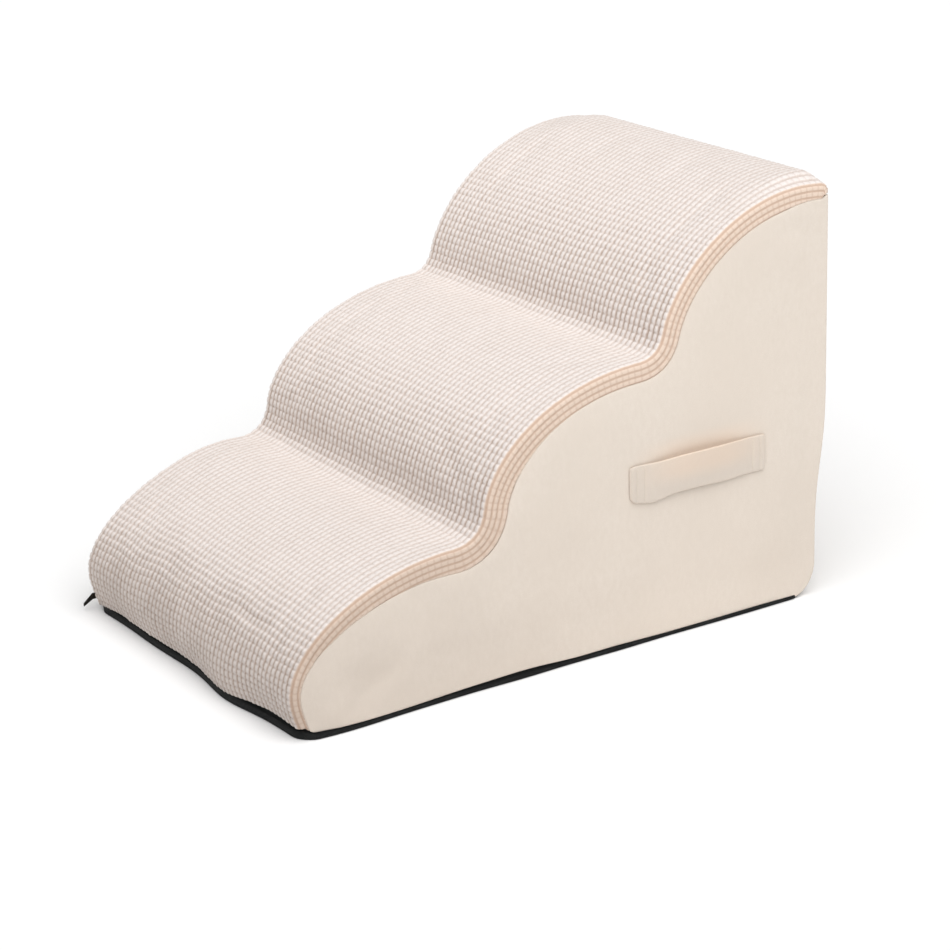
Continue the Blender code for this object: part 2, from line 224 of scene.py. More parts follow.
def make_tread_line():
    """From the front hem over the steps and round the back's top edge to the end of the flap."""
    foot, rise = STEPS[0][:2]
    parts = [bezier(HEM_START, unit(HEM_DEG) * HEM_HANDLE, foot, unit(rise) * HEM_HANDLE)]
    for i, (foot, rise, rise_handle, end, fall, fall_handle) in enumerate(STEPS):
        parts.append(bezier(foot, unit(rise) * rise_handle, end, unit(fall) * fall_handle, 400))
        if i + 1 < len(STEPS):
            after, after_rise = STEPS[i + 1][:2]
            reach = np.linalg.norm(np.array(after) - np.array(end)) * VALLEY_HANDLE
            parts.append(bezier(end, unit(fall) * reach, after, unit(after_rise) * reach))
    end, fall = STEPS[-1][3:5]
    outward = unit(fall + 90)
    radius = (LENGTH - end[0]) / (1 - outward[0])
    centre = np.array(end) - outward * radius
    parts.append(arc(centre, radius, fall + 90, 0))
    parts.append([[LENGTH, centre[1] - FLAP]])
    points = np.vstack(parts)
    points[:, 0] += FRONT
    return Line(points), radius, centre[1] - FLAP


def make_back_line(top):
    """From under the flap down the back and round the heel to the floor."""
    drawn_in = np.array([BACK - TUCK, TUCK_BOTTOM])
    reach = np.array([0, (TUCK_BOTTOM - TUCK_TOP) / 2])
    centre = (BACK - TUCK - HEEL_RADIUS, HEEL_RADIUS)
    parts = [[[BACK, top]], bezier((BACK, TUCK_TOP), reach, drawn_in, reach)]
    parts += [arc(centre, HEEL_RADIUS, 0, HEEL_END)]
    return Line(np.vstack(parts))


TREAD, CORNER_RADIUS, FLAP_END = make_tread_line()
BACK_LINE = make_back_line(FLAP_END)
BASE_BACK = BACK_LINE.points[-1][0] - 0.0008
CORNER_AT = TREAD.length - FLAP - CORNER_RADIUS * math.radians(90 - 8)


# The front hem stands off the floor by a few millimetres, in waves: (x, height)
HEM_WAVES = (
    (-0.200, 0.0030), (-0.188, 0.0065), (-0.150, 0.0120), (-0.095, 0.0105), (-0.020, 0.0120), (0.020, 0.0100),
    (0.055, 0.0075), (0.078, 0.0070), (0.105, 0.0110), (0.150, 0.0150), (0.182, 0.0140), (0.200, 0.0105),
)


def hem_height(x):
    places, heights = np.array(HEM_WAVES).T
    return sum(np.interp(x + shift, places, heights) for shift in (-0.012, -0.006, 0, 0.006, 0.012)) / 5


def front_bow(x):
    """How far the front of the base and the hem stand forward of a straight edge."""
    return 0.0078 * bump(x, 0.076, 0.047) + 0.0012 * bump(x, -0.080, 0.050)


def side_bow(y):
    """How far the foot of the right side stands out near the front."""
    return 0.0035 * bump(y, -0.235, 0.050)


def crown(x, y, s):
    """How far the top step is raised between its side folds."""
    across = smooth((HALF - 0.001 - np.abs(x)) / np.where(x > 0, 0.024, 0.060))
    return CROWN * across * smooth((y - 0.175) / 0.115) * smooth((TREAD.length - s - 0.003) / 0.020)


def border_width(s):
    """How far the tread fabric reaches on to a side face at length s of the tread line."""
    grown = BORDER_AT_HEM + (BORDER - BORDER_AT_HEM) * smooth(s / BORDER_GROWS)
    width = grown + BORDER_SWELL * bump(s, SWELL_AT, SWELL_SPREAD)
    return width - (BORDER - BORDER_AT_CORNER) * smooth((s - CORNER_AT + BORDER_TAPERS) / BORDER_TAPERS)


def border_tip(s):
    """The inner edge of the border at length s: along the tread line, then straight to the flap's end."""
    at, out = TREAD.place(s)
    tip = at - out * border_width(s)[..., None]
    start, start_out = TREAD.place(np.array(CORNER_AT))
    start = start - start_out * BORDER_AT_CORNER
    end = np.array([BACK - EDGE - 0.0006, FLAP_END])
    share = np.clip((s - CORNER_AT) / (TREAD.length - CORNER_AT), 0, 1)[..., None]
    return np.where(share > 0, start + (end - start) * share, tip)


# ---- meshes


def linked(name, data):
    """A new object in the scene."""
    obj = bpy.data.objects.new(name, data)
    bpy.context.scene.collection.objects.link(obj)
    return obj


def mesh_object(name, points, faces, uv=None):
    """A smooth-shaded closed mesh, facing outwards. uv holds one pair for each point."""
    mesh = bpy.data.meshes.new(name)
    mesh.from_pydata(np.asarray(points, float).tolist(), [], faces)
    mesh.update()
    mesh.validate()
    mesh.shade_smooth()
    if uv is not None:
        corners = np.zeros(len(mesh.loops), np.int32)
        mesh.loops.foreach_get("vertex_index", corners)
        layer = mesh.uv_layers.new(name="weave")
        layer.data.foreach_set("uv", np.asarray(uv, np.float32)[corners].ravel())
    bm = bmesh.new()
    bm.from_mesh(mesh)
    bmesh.ops.recalc_face_normals(bm, faces=bm.faces)
    bm.to_mesh(mesh)
    bm.free()
    return linked(name, mesh)


def quads(rows, columns, first=0):
    """Four-sided faces of a grid of points."""
    starts = [first + i * columns + j for i in range(rows - 1) for j in range(columns - 1)]
    return [(a, a + 1, a + columns + 1, a + columns) for a in starts]


def grid_faces(rows, columns):
    """Three-sided faces of a grid of points."""
    return [face for a, b, c, d in quads(rows, columns) for face in ((a, b, c), (a, c, d))]


def tube_faces(rings, around, first=0):
    """Faces of a tube of rings of points, with both ends filled."""
    faces = [tuple(range(first, first + around))[::-1]]
    for i in range(rings - 1):
        a = first + i * around
        b = a + around
        faces += [(a + j, a + (j + 1) % around, b + (j + 1) % around, b + j) for j in range(around)]
    faces.append(tuple(range(first + (rings - 1) * around, first + rings * around)))
    return faces


def finish_piece(obj, material, nodes=()):
    """Material, body and the CAD nodes that the piece stands in for."""
    obj.data.materials.append(material)
    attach(obj, BODY)
    if nodes:
        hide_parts(*nodes)


# ---- the relaxed cover


def cover_body():
    """A closed block of the whole outer shape, remeshed evenly, for the cloth simulation."""
    s = np.linspace(0, TREAD.length, 160)
    top, _ = TREAD.place(s)
    back, _ = BACK_LINE.place(np.linspace(0, BACK_LINE.length, 60))
    outline = np.vstack([top, back[1:], [[FRONT, 0]]])
    bm = bmesh.new()
    face = bm.faces.new([bm.verts.new((-HALF, y, z)) for y, z in outline])
    made = bmesh.ops.extrude_face_region(bm, geom=[face])["geom"]
    moved = [v for v in made if isinstance(v, bmesh.types.BMVert)]
    bmesh.ops.translate(bm, verts=moved, vec=(2 * HALF, 0, 0))
    bmesh.ops.recalc_face_normals(bm, faces=bm.faces)
    mesh = bpy.data.meshes.new("cover_body")
    bm.to_mesh(mesh)
    bm.free()
    obj = linked("cover_body", mesh)
    remesh = obj.modifiers.new("Even", "REMESH")
    remesh.mode = "VOXEL"
    remesh.voxel_size = 0.010
    graph = bpy.context.evaluated_depsgraph_get()
    mesh = bpy.data.meshes.new_from_object(obj.evaluated_get(graph))
    obj.modifiers.clear()
    obj.data = mesh
    return obj


def coordinates(mesh):
    co = np.zeros(len(mesh.vertices) * 3)
    mesh.vertices.foreach_get("co", co)
    return co.reshape(-1, 3)


class Shift:
    """How far the relaxed cover moved near a point, from the nearest points of the simulated cloth."""

    def __init__(self, rest, moved):
        self.shift = moved - rest
        self.tree = make_tree(rest)

    def at(self, points, near=6):
        result = np.zeros((len(points), 3))
        for i, point in enumerate(points):
            found = self.tree.find_n(point, near)
            weights = np.array([1 / (distance + 0.003) ** 2 for _, _, distance in found])
            shifts = self.shift[[index for _, index, _ in found]]
            result[i] = weights @ shifts / weights.sum()
        return result


def seam_points():
    """Points along every seam of the cover: the folds on to the sides, the flap, the hem and the base."""
    points = []
    apart = 0.004
    for line in (TREAD, BACK_LINE):
        for s in np.arange(0, line.length, apart):
            (y, z), _ = line.place(s)
            points += [(side * HALF, y, z) for side in (-1, 1)]
    for x in np.arange(-HALF, HALF, apart):
        points += [(x, FRONT, 0.008), (x, BACK, FLAP_END), (x, BACK - TUCK - HEEL_RADIUS, 0)]
    for y in np.arange(FRONT, BACK, apart):
        points += [(side * HALF, y, z) for side in (-1, 1) for z in (0, 0.012, 0.024)]
    return points


def in_space(points):
    """The points in three dimensions, where points of a plane get a third coordinate of 0."""
    points = np.asarray(points, float)
    return points if points.shape[1] == 3 else np.column_stack([points, np.zeros(len(points))])


def make_tree(points):
    tree = kdtree.KDTree(len(points))
    for i, point in enumerate(in_space(points)):
        tree.insert(point, i)
    tree.balance()
    return tree


def distances(tree, points):
    return np.array([tree.find(point)[2] for point in in_space(points)])


def relax_cover():
    """Fills the closed cover a little, as cloth held at its seams, and gives how far the cloth moved."""
    obj = cover_body()
    rest = coordinates(obj.data)
    held = 1 - smooth((distances(make_tree(seam_points()), rest) - 0.006) / 0.030)
    held[rest[:, 2] < 0.004] = 1
    group = obj.vertex_groups.new(name="held")
    for i, weight in enumerate(held):
        if weight > 0.01:
            group.add([i], float(weight), "REPLACE")
    cloth = obj.modifiers.new("Cloth", "CLOTH")
    settings = cloth.settings
    settings.quality = 5
    settings.mass = 0.25
    settings.tension_stiffness = settings.compression_stiffness = 12
    settings.bending_stiffness = 0.8
    settings.vertex_group_mass = "held"
    settings.pin_stiffness = 6
    settings.shrink_min = -0.008
    settings.use_pressure = True
    settings.uniform_pressure_force = 3.0
    settings.effector_weights.gravity = 0
    cloth.collision_settings.use_collision = False
    scene = bpy.context.scene
    for number in range(1, SIMULATED_FRAMES + 1):
        scene.frame_set(number)
    graph = bpy.context.evaluated_depsgraph_get()
    moved = coordinates(obj.evaluated_get(graph).data)
    scene.frame_set(1)
    bpy.data.objects.remove(obj)
    shift = moved - rest
    size = np.linalg.norm(shift, axis=1)
    limited = MOST_SHIFT * np.tanh(size / MOST_SHIFT)
    shift *= (limited / np.maximum(size, 1e-9))[:, None]
    return Shift(rest, rest + shift)


class NoShift:
    def at(self, points):
        return np.zeros((len(points), 3))


# ---- tread


def fold_place(u):
    """Half of the cross section: x, depth under the tread line, and the outward way as x and out shares."""
    flat = HALF - EDGE
    angle = np.clip((u - flat) / EDGE, 0, math.pi / 2)
    x = np.minimum(u, flat) + EDGE * np.sin(angle)
    depth = EDGE * (1 - np.cos(angle)) + np.maximum(u - flat - EDGE * math.pi / 2, 0)
    return x, depth, np.sin(angle), np.cos(angle)


def edge_roll(distance, roll=SEAM_ROLL, reach=0.0028):
    """How far an edge turns in at a distance from it: a quarter circle."""
    share = np.clip(1 - distance / reach, 0, 1)
    return roll * (1 - np.sqrt(1 - share * share))


def tread_height(c, r, cells_random):
    """Height of the waffle over its backing, 0 to about 1, at cell coordinates c across and r along."""
    across = np.abs(c - np.round(c))
    along = np.abs(r - np.round(r))
    column = smooth((across + 0.02) / (GROOVE_ACROSS + 0.09)) * (0.86 + 0.14 * smooth(across / 0.5))
    row = 0.42 + 0.58 * smooth((along + 0.01) / (GROOVE_ALONG + 0.10))
    columns, rows = cells_random.shape
    i = np.clip(np.floor(c).astype(int) + columns // 2, 0, columns - 1)
    j = np.clip(np.floor(r).astype(int), 0, rows - 1)
    return column * row * cells_random[i, j]


def tread_points(c, r, inner_layer, rows, cells_random):
    """Places of the tread's points, and their cells. c and r are grids of cell coordinates."""
    pitch = FOLD_MIDDLE / COLUMNS_HALF
    s = r / rows * TREAD.length
    side = np.where(c < 0, -1.0, 1.0)
    u = np.minimum(np.abs(c), COLUMNS_HALF) * pitch + np.maximum(np.abs(c) - COLUMNS_HALF, 0) * BORDER_CELL
    at, out = TREAD.place(s)
    turned = HALF - EDGE + EDGE * math.pi / 2
    inner_edge = border_tip(s)
    width = turned + np.linalg.norm(inner_edge - (at - out * EDGE), axis=-1)
    left = (np.abs(c).max() - np.abs(c)) * 4
    u = np.where(np.abs(c) > COLUMNS_HALF + 0.5, np.minimum(u, width - left * 0.00022), u)
    u = np.where(left < 0.01, width, u)
    reach = COLUMNS_HALF * pitch
    cell = side * (np.minimum(u, reach) / pitch + np.maximum(u - reach, 0) / BORDER_CELL)
    x, depth, share_x, share_out = fold_place(u)
    x = x * side
    inner = smooth((HALF - 0.012 - np.abs(x)) / 0.03)
    flat = smooth((out[..., 1] - 0.75) / 0.25)
    valley = sum(bump(s, place, 0.05) for place in VALLEYS)
    wander = 0.0004 * ripple(x * 0.4, s, 0.09, 5) + 0.0014 * valley * ripple(x * 0.3, s, 0.08, 6)
    along = (0.0004 + 0.0006 * bump(s, 0.07, 0.06)) * ripple(x, s * 0.5, 0.09, 7) * inner
    hem = (hem_height(np.clip(x, -HALF, HALF)) - HEM_START[1]) * (1 - smooth(s / 0.05))
    at, out = TREAD.place(s + hem + along * smooth(s / 0.03) * smooth((TREAD.length - s) / 0.03))
    past = np.clip((u - turned) / (width - turned), 0, 1)
    depth = np.minimum(depth, EDGE)
    x = x + wander * inner
    on_border = smooth((np.abs(cell) - COLUMNS_HALF + 0.15) / 0.3)
    tuft = TUFT * (1 - 0.45 * on_border) * (1.06 - 0.38 * flat)
    height = TREAD_BASE + tuft * tread_height(cell, r, cells_random) + 0.0003 * on_border
    for mark_s, spread_s, mark_x, spread_x, mark_depth in MARKS:
        height = height - mark_depth * bump(s, mark_s, spread_s) * bump(x, mark_x, spread_x)
    rolled = edge_roll(width - u, SEAM_ROLL, 0.0020) + edge_roll(s, 0.0012)
    rolled = rolled + edge_roll(TREAD.length - s, 0.0009)
    height = TREAD_BACK - 0.6 * rolled if inner_layer else height - rolled
    fold = at - out * depth[..., None]
    face = fold + (inner_edge - fold) * past[..., None] + out * (share_out * height)[..., None]
    at_hem = 1 - smooth((s - 0.004) / 0.060)
    y = face[..., 0] - front_bow(x) * at_hem * share_out
    lifted = LEFT_LIFT * smooth((-x - 0.02) / 0.15) * bump(at[..., 0], -0.170, 0.060)
    z = face[..., 1] + crown(x, at[..., 0], s) * share_out + lifted * (1 - past)
    points = np.stack([x + side * share_x * height, y, z], -1)
    return points, np.stack([cell, r], -1)


def cell_steps(first, last, phases):
    """Cell coordinates of the points of a row of cells."""
    return np.array([k + phase for k in range(first, last) for phase in phases] + [last], float)


def make_tread_fabric(soft, material):
    rows = round(TREAD.length / CELL_ALONG)
    rng = np.random.RandomState(11)
    cells_random = 1 + 0.12 * np.clip(rng.randn(80, rows + 1), -1.6, 1.6)
    last = COLUMNS_HALF + BORDER_CELLS
    across = cell_steps(-last, last, PHASES_ACROSS)
    along = cell_steps(0, rows, PHASES_ALONG)
    r, c = np.meshgrid(along, across, indexing="ij")
    outer, outer_uv = tread_points(c, r, False, rows, cells_random)
    r, c = np.meshgrid(along[:: len(PHASES_ALONG)], across[:: len(PHASES_ACROSS)], indexing="ij")
    inner, inner_uv = tread_points(c, r, True, rows, cells_random)
    high, wide = outer.shape[:2]
    low, narrow = inner.shape[:2]
    points = np.vstack([outer.reshape(-1, 3), inner.reshape(-1, 3)])
    points = points + SHIFT_TREAD * soft.at(points)
    uv = np.vstack([outer_uv.reshape(-1, 2), inner_uv.reshape(-1, 2)])
    base = high * wide
    faces = quads(high, wide)
    faces += [(a, d, c, b) for a, b, c, d in quads(low, narrow, base)]
    a, b = len(PHASES_ALONG), len(PHASES_ACROSS)
    for i in range(low - 1):
        for j, k in ((0, 0), (wide - 1, narrow - 1)):
            edge = [(i * a + m) * wide + j for m in range(a + 1)]
            edge += [base + (i + 1) * narrow + k, base + i * narrow + k]
            faces.append(edge if j else edge[::-1])
    for j in range(narrow - 1):
        for i, k in ((0, 0), (high - 1, low - 1)):
            edge = [i * wide + j * b + m for m in range(b + 1)]
            edge += [base + k * narrow + j + 1, base + k * narrow + j]
            faces.append(edge[::-1] if i else edge)
    obj = mesh_object("tread_fabric", points, faces, uv)
    finish_piece(obj, material, ["top_cover"])


# ---- plain panels


def resample(loop, step):
    """Points at an even spacing round a loop."""
    loop = np.vstack([loop, loop[:1]])
    lengths = lengths_of(loop)
    count = max(int(lengths[-1] / step), 3)
    return at_length(np.linspace(0, lengths[-1], count + 1)[:count], lengths, loop)


def side_loop(left):
    """Outline of a side panel, anticlockwise seen from +X."""
    s = np.arange(0.0, CORNER_AT, 0.001)
    _, out = TREAD.place(s)
    seam = (border_tip(s) - out * SEAM_GAP)[::-1]
    lowest = SLOT_HIGH if left else RIGHT_FOOT
    seam = seam[seam[:, 1] > lowest + 0.0004]
    flap = [[BACK - CORNER_INSET, FLAP_END + 0.0006]]
    back, back_out = BACK_LINE.place(np.arange(0.0010, BACK_LINE.length, 0.001))
    back = back - back_out * CORNER_INSET
    foot = back[-1, 0] - 0.0004
    if left:
        bottom = [[foot, 0.0056], [SLOT_END, SLOT_LOW], [SLOT_END, lowest], [seam[-1, 0], lowest]]
    else:
        y = np.arange(foot - 0.002, seam[-1, 0] + 0.002, -0.004)
        wave = 0.0004 * ripple(y, y * 0, 0.09, 21) + 0.0028 * bump(y, -0.075, 0.05)
        wave += 0.0012 * bump(y, FRONT, 0.03)
        rear = 0.0012 * smooth((y - 0.02) / 0.10) + 0.0018 * smooth((y - foot + 0.03) / 0.03)
        bottom = np.stack([y, 0.0054 + wave - rear], 1)
    return np.vstack([seam, bottom[::-1], back[::-1], flap])


def fill_loop(loop, step, rings=(0.0009, 0.0020, 0.0036)):
    """Triangles that fill a loop: their points, the distances of these from the loop, the triangles."""
    edge = resample(loop, 0.0030)
    dense = resample(loop, 0.0004)
    tree = make_tree(dense)
    after = np.roll(edge, -1, 0) - np.roll(edge, 1, 0)
    after /= np.linalg.norm(after, axis=1)[:, None]
    area = 0.5 * np.sum(edge[:, 0] * np.roll(edge[:, 1], -1) - np.roll(edge[:, 0], -1) * edge[:, 1])
    inward = np.stack([-after[:, 1], after[:, 0]], 1) * np.sign(area)
    chosen = [edge]
    for ring in rings:
        points = edge + inward * ring
        chosen.append(points[distances(tree, points) > ring * 0.85])
    low, high = edge.min(0), edge.max(0)
    rows = []
    for i, z in enumerate(np.arange(low[1], high[1], step * 0.866)):
        y = np.arange(low[0] + (i % 2) * step / 2, high[0], step)
        rows.append(np.stack([y, np.full_like(y, z)], 1))
    grid = np.vstack(rows)
    grid = grid[distances(tree, grid) > rings[-1] + step * 0.45]
    grid = grid[inside(grid, dense)]
    points = np.vstack([*chosen, grid])
    links = [(i, (i + 1) % len(edge)) for i in range(len(edge))]
    made = geometry.delaunay_2d_cdt([Vector(p) for p in points], links, [], 1, 1e-7)
    flat = np.array([tuple(v) for v in made[0]])
    triangles = [tuple(face) for face in made[2]]
    return flat, distances(tree, flat), triangles


def inside(points, loop):
    """Whether each point lies in a closed loop."""
    result = np.zeros(len(points), bool)
    ends = np.roll(loop, -1, 0)
    for (ya, za), (yb, zb) in zip(loop, ends):
        if za == zb:
            continue
        crossing = (points[:, 1] > za) != (points[:, 1] > zb)
        result ^= crossing & (points[:, 0] < (yb - ya) * (points[:, 1] - za) / (zb - za) + ya)
    return result


def thicken(name, outer, inner, triangles, uv=None):
    """A closed sheet from an outer and an inner layer with the same triangles."""
    count = len(outer)
    edges = {edge: None for a, b, c in triangles for edge in ((a, b), (b, c), (c, a))}
    rim = [edge for edge in edges if edge[::-1] not in edges]
    faces = list(triangles)
    faces += [(a + count, c + count, b + count) for a, b, c in triangles]
    faces += [(b, a, a + count, b + count) for a, b in rim]
    return mesh_object(name, np.vstack([outer, inner]), faces, None if uv is None else np.vstack([uv, uv]))


def make_side_fabric(side, soft, material):
    left = side < 0
    flat, gap, triangles = fill_loop(side_loop(left), POINT_STEP)
    y, z = flat[:, 0], flat[:, 1]
    rolls = 0.15 + 0.85 * smooth((z - 0.010) / 0.012) if side > 0 else 1.0
    outward = -0.0002 - rolls * edge_roll(gap, SEAM_ROLL, SEAM_REACH)
    free = smooth((gap - 0.004) / 0.03)
    outward += free * 0.0003 * ripple(y, z, 0.12, 31 + left)
    low = 1 - smooth((z - 0.03) / 0.05)
    front = 1 - smooth((y - FRONT - 0.05) / 0.20)
    outward += free * low * front * 0.0010 * np.sin((y - FRONT) / 0.013 + 3 * ripple(y, z, 0.1, 33))
    if not left:
        outward += side_bow(y) * (1 - smooth((z - 0.006) / 0.045)) * smooth((y - FRONT - 0.010) / 0.03)
    outer = np.stack([side * (HALF + outward), y, z], 1)
    inner = np.stack([side * (HALF + outward - CLOTH), y, z], 1)
    shift = SHIFT_SIDES * soft.at(outer)
    name = "side_fabric_left" if left else "side_fabric_right"
    obj = thicken(name, outer + shift, inner + shift, triangles, flat)
    finish_piece(obj, material, ["side_panel_left" if left else "side_panel_right"])


def eased(low, high, step, edge=(0.0009, 0.0020, 0.0036)):
    """Positions from low to high, closer together near both ends."""
    middle = np.linspace(low + edge[-1], high - edge[-1], max(int((high - low) / step), 2))
    return np.r_[low, low + np.array(edge[:-1]), middle, high - np.array(edge[:-1])[::-1], high]


def make_back_fabric(soft, material):
    half = HALF - CORNER_INSET
    s = eased(0.0004, BACK_LINE.length - 0.002, 0.006)
    x = eased(-half, half, 0.006)
    ss, xx = np.meshgrid(s, x, indexing="ij")
    at, out = BACK_LINE.place(ss)
    gap = np.minimum.reduce([half - np.abs(xx), ss - s[0], s[-1] - ss + 0.003])
    outward = -0.0002 - edge_roll(gap, SEAM_ROLL, SEAM_REACH)
    outward += smooth(gap / 0.03) * 0.0003 * ripple(xx, ss, 0.12, 41)
    layers = [at + out * depth[..., None] for depth in (outward, outward - CLOTH)]
    outer, inner = (np.column_stack([xx.ravel(), layer.reshape(-1, 2)]) for layer in layers)
    shift = soft.at(outer)
    uv = np.stack([xx.ravel(), ss.ravel()], 1)
    obj = thicken("back_fabric", outer + shift, inner + shift, grid_faces(*ss.shape), uv)
    finish_piece(obj, material, ["back_panel"])


# ---- foam


def make_foam_block(material):
    """The foam inside the cover, with rounded edges, a little smaller than the cover all round."""
    s = np.arange(0.004, CORNER_AT, 0.006)
    at, out = TREAD.place(s)
    top = at - out * FOAM_INSET
    back, back_out = BACK_LINE.place(np.linspace(0.012, BACK_LINE.length - 0.004, 60))
    back = back - back_out * FOAM_INSET
    top = top[top[:, 0] < back[0, 0] - 0.004]
    foot = [[back[-1, 0], FOAM_FLOOR], [top[0, 0] + 0.002, FOAM_FLOOR]]
    outline = np.vstack([top, back, foot])
    middle = np.array([0.0, 0.1])
    rings = []
    for x, share in ((-1.0, 0.994), (-0.985, 1.0), (0.985, 1.0), (1.0, 0.994)):
        flat = middle + (outline - middle) * share
        flat[:, 1] = np.maximum(flat[:, 1], FOAM_FLOOR)
        rings.append(np.column_stack([np.full(len(flat), x * (HALF - FOAM_INSET)), flat]))
    obj = lofted(rings, "foam_block")
    sharpen(obj, 40)
    finish_piece(obj, material, ["foam_core"])


# ---- base


def rounded_rectangle(half_x, y_low, y_high, radii):
    """A loop seen from above, anticlockwise. radii are for the front and the back corners."""
    front, back = radii
    at_front, at_back = (front, y_low + front), (back, y_high - back)
    corners = ((1, at_front, -90), (1, at_back, 0), (-1, at_back, 90), (-1, at_front, 180))
    parts = []
    for side, (radius, y), start in corners:
        parts.append(arc((side * (half_x - radius), y), radius, start, start + 90, 12))
    return resample(np.vstack(parts), 0.004)


def lofted(rings, name):
    """A closed mesh from rings of the same length, with its first and last ring filled."""
    return mesh_object(name, np.vstack(rings), tube_faces(len(rings), len(rings[0])))


def make_base_fabric(material):
    """A shallow tray of black cloth: a welt shows under the hems, and its rim is tucked in behind them.

    Gives its outline seen from above.
    """
    low, high = FRONT, BASE_BACK
    loop = rounded_rectangle(HALF, low, high, BASE_CORNERS)
    x, y = loop[:, 0], loop[:, 1]
    middle = (low + high) / 2
    front = 1 - smooth((y - low - 0.004) / 0.012)
    rear = smooth((y - high + 0.008) / 0.006)
    right = smooth(x / 0.1)
    top = np.where(x > 0, 0.0105, 0.0058)
    top = top + (0.0200 - top) * front
    top = top + (0.0042 - top) * rear
    welt = (0.0008 + 0.0005 * ripple(x, y, 0.10, 71)) * (1 - rear)
    shoulder = np.minimum(0.0042 + 0.0045 * front, top - 0.0010)

    def ring(out, z, tuck=0.0):
        """The loop moved outwards, and the part behind the hems drawn in by tuck."""
        wide = out - tuck * (1 - rear)
        ring_x = x * (HALF + wide) / HALF + right * side_bow(y) * (1 - front)
        ring_y = middle + (y - middle) * (1 + wide / ((high - low) / 2))
        ring_y = ring_y - front * (front_bow(x) + np.maximum(z - HEM_START[1], 0) * 0.30)
        return np.column_stack([ring_x, ring_y, np.broadcast_to(z, x.shape)])

    section = (
        (-0.0060, 0.0006), (-0.0010, 0.0005), (welt - 0.0002, 0.0007), (welt, 0.0016), (welt, 0.0026),
        (welt * 0.8, shoulder), (0.0, shoulder + 0.0003, 0.0018), (0.0, (top + shoulder) / 2, TUCKED),
        (0.0, top - 0.0002, TUCKED), (-0.0004, top, TUCKED), (-0.0010, top - 0.0002, TUCKED),
        (-0.0011, 0.0030, TUCKED), (-0.0080, 0.0022),
    )
    obj = lofted([ring(*values) for values in section], "base_fabric")
    finish_piece(obj, material, ["base_panel"])
    return loop


def make_grip_dots(loop, material):
    """Rubber dots under the base, which stand on the floor."""
    spacing, radius = 0.012, 0.0016
    dense = resample(loop, 0.001)
    x, y = np.meshgrid(np.arange(-0.192, 0.193, spacing), np.arange(FRONT + 0.010, 0.250, spacing))
    y = y + (np.round((x + 0.192) / spacing) % 2) * spacing / 2
    spots = np.stack([x.ravel(), y.ravel()], 1)
    spots = spots[distances(make_tree(dense), spots) > 0.005]
    spots = spots[inside(spots, dense)]
    around = 10
    turn = np.linspace(0, 2 * math.pi, around, endpoint=False)
    circle = radius * np.stack([np.cos(turn), np.sin(turn), 0 * turn], 1)
    profile = ((1.0, 0.0010), (0.85, 0.0003), (0.5, 0.0))
    dot = np.vstack([circle * share + np.array([0, 0, z]) for share, z in profile])
    points = [dot + np.array([*spot, 0]) for spot in spots]
    faces = []
    for k in range(len(spots)):
        faces += tube_faces(len(profile), around, k * len(dot))
    obj = mesh_object("grip_dots", np.vstack(points), faces)
    finish_piece(obj, material)


# ---- strap

STRAP_FRONT_Y, STRAP_REAR_Y = FRONT + 0.3600, FRONT + 0.5210
STRAP_LOW, STRAP_HIGH = 0.1455, 0.1815
STRAP_WIDE = 0.036
STRAP_CORNER = 0.0075
STRAP_SEWN = 0.018
STRAP_FACE = 0.0004  # from the side panel to the strap's inner face
STRAP_THICK = 0.0028
STITCH_ROWS = (0.0030 / STRAP_WIDE, 1 - 0.0030 / STRAP_WIDE)  # along the strap, as shares of its width
STITCH_LINES = (0.0075, 0.0165)  # rows across each sewn end, from the end


def strap_section():
    """Half-round edged cross section: across from 0 to 1 in height, and out from 0 to 1 in thickness."""
    edge = 0.042
    bend = [(edge * (1 - math.cos(a)), 0.5 + 0.5 * math.sin(a)) for a in np.linspace(0, math.pi / 2, 4)]
    flat = [(t, 1.0) for t in np.linspace(edge, 1 - edge, 9)[1:-1]]
    top = bend + flat + [(1 - t, out) for t, out in reversed(bend)]
    under = [(t, 1.0 - out) for t, out in reversed(top[1:-1])]
    return np.array(top + under)


def strap_out(y, share):
    """How far the strap stands off the panel at y, for a share of its height from its low edge."""
    t = np.clip((y - STRAP_FRONT_Y - STRAP_SEWN) / (STRAP_REAR_Y - STRAP_FRONT_Y - 2 * STRAP_SEWN), 0, 1)
    lift = 0.0028 + 0.0038 * share
    return lift * np.sin(math.pi * t) ** 1.2


def strap_edges(y, front):
    """Heights of the strap's low and high edge at y, and how far y is from the sewn end."""
    step = y - STRAP_FRONT_Y if front else STRAP_REAR_Y - y
    inset = max(STRAP_CORNER - step, 0)
    trim = STRAP_CORNER - math.sqrt(max(STRAP_CORNER**2 - inset**2, 0))
    arch = math.sin(math.pi * (y - STRAP_FRONT_Y) / (STRAP_REAR_Y - STRAP_FRONT_Y)) ** 2
    dip = 0.0042 * float(bump(y, FRONT + 0.386, 0.016)) + 0.0008 * float(bump(y, FRONT + 0.47, 0.02))
    low = STRAP_LOW + trim * (1.0 if front else 0.5) - dip + 0.0009 * arch
    high = STRAP_HIGH - trim * 0.35 - 0.0012 * float(bump(y, FRONT + 0.39, 0.02)) + 0.0022 * arch
    return low, high, step


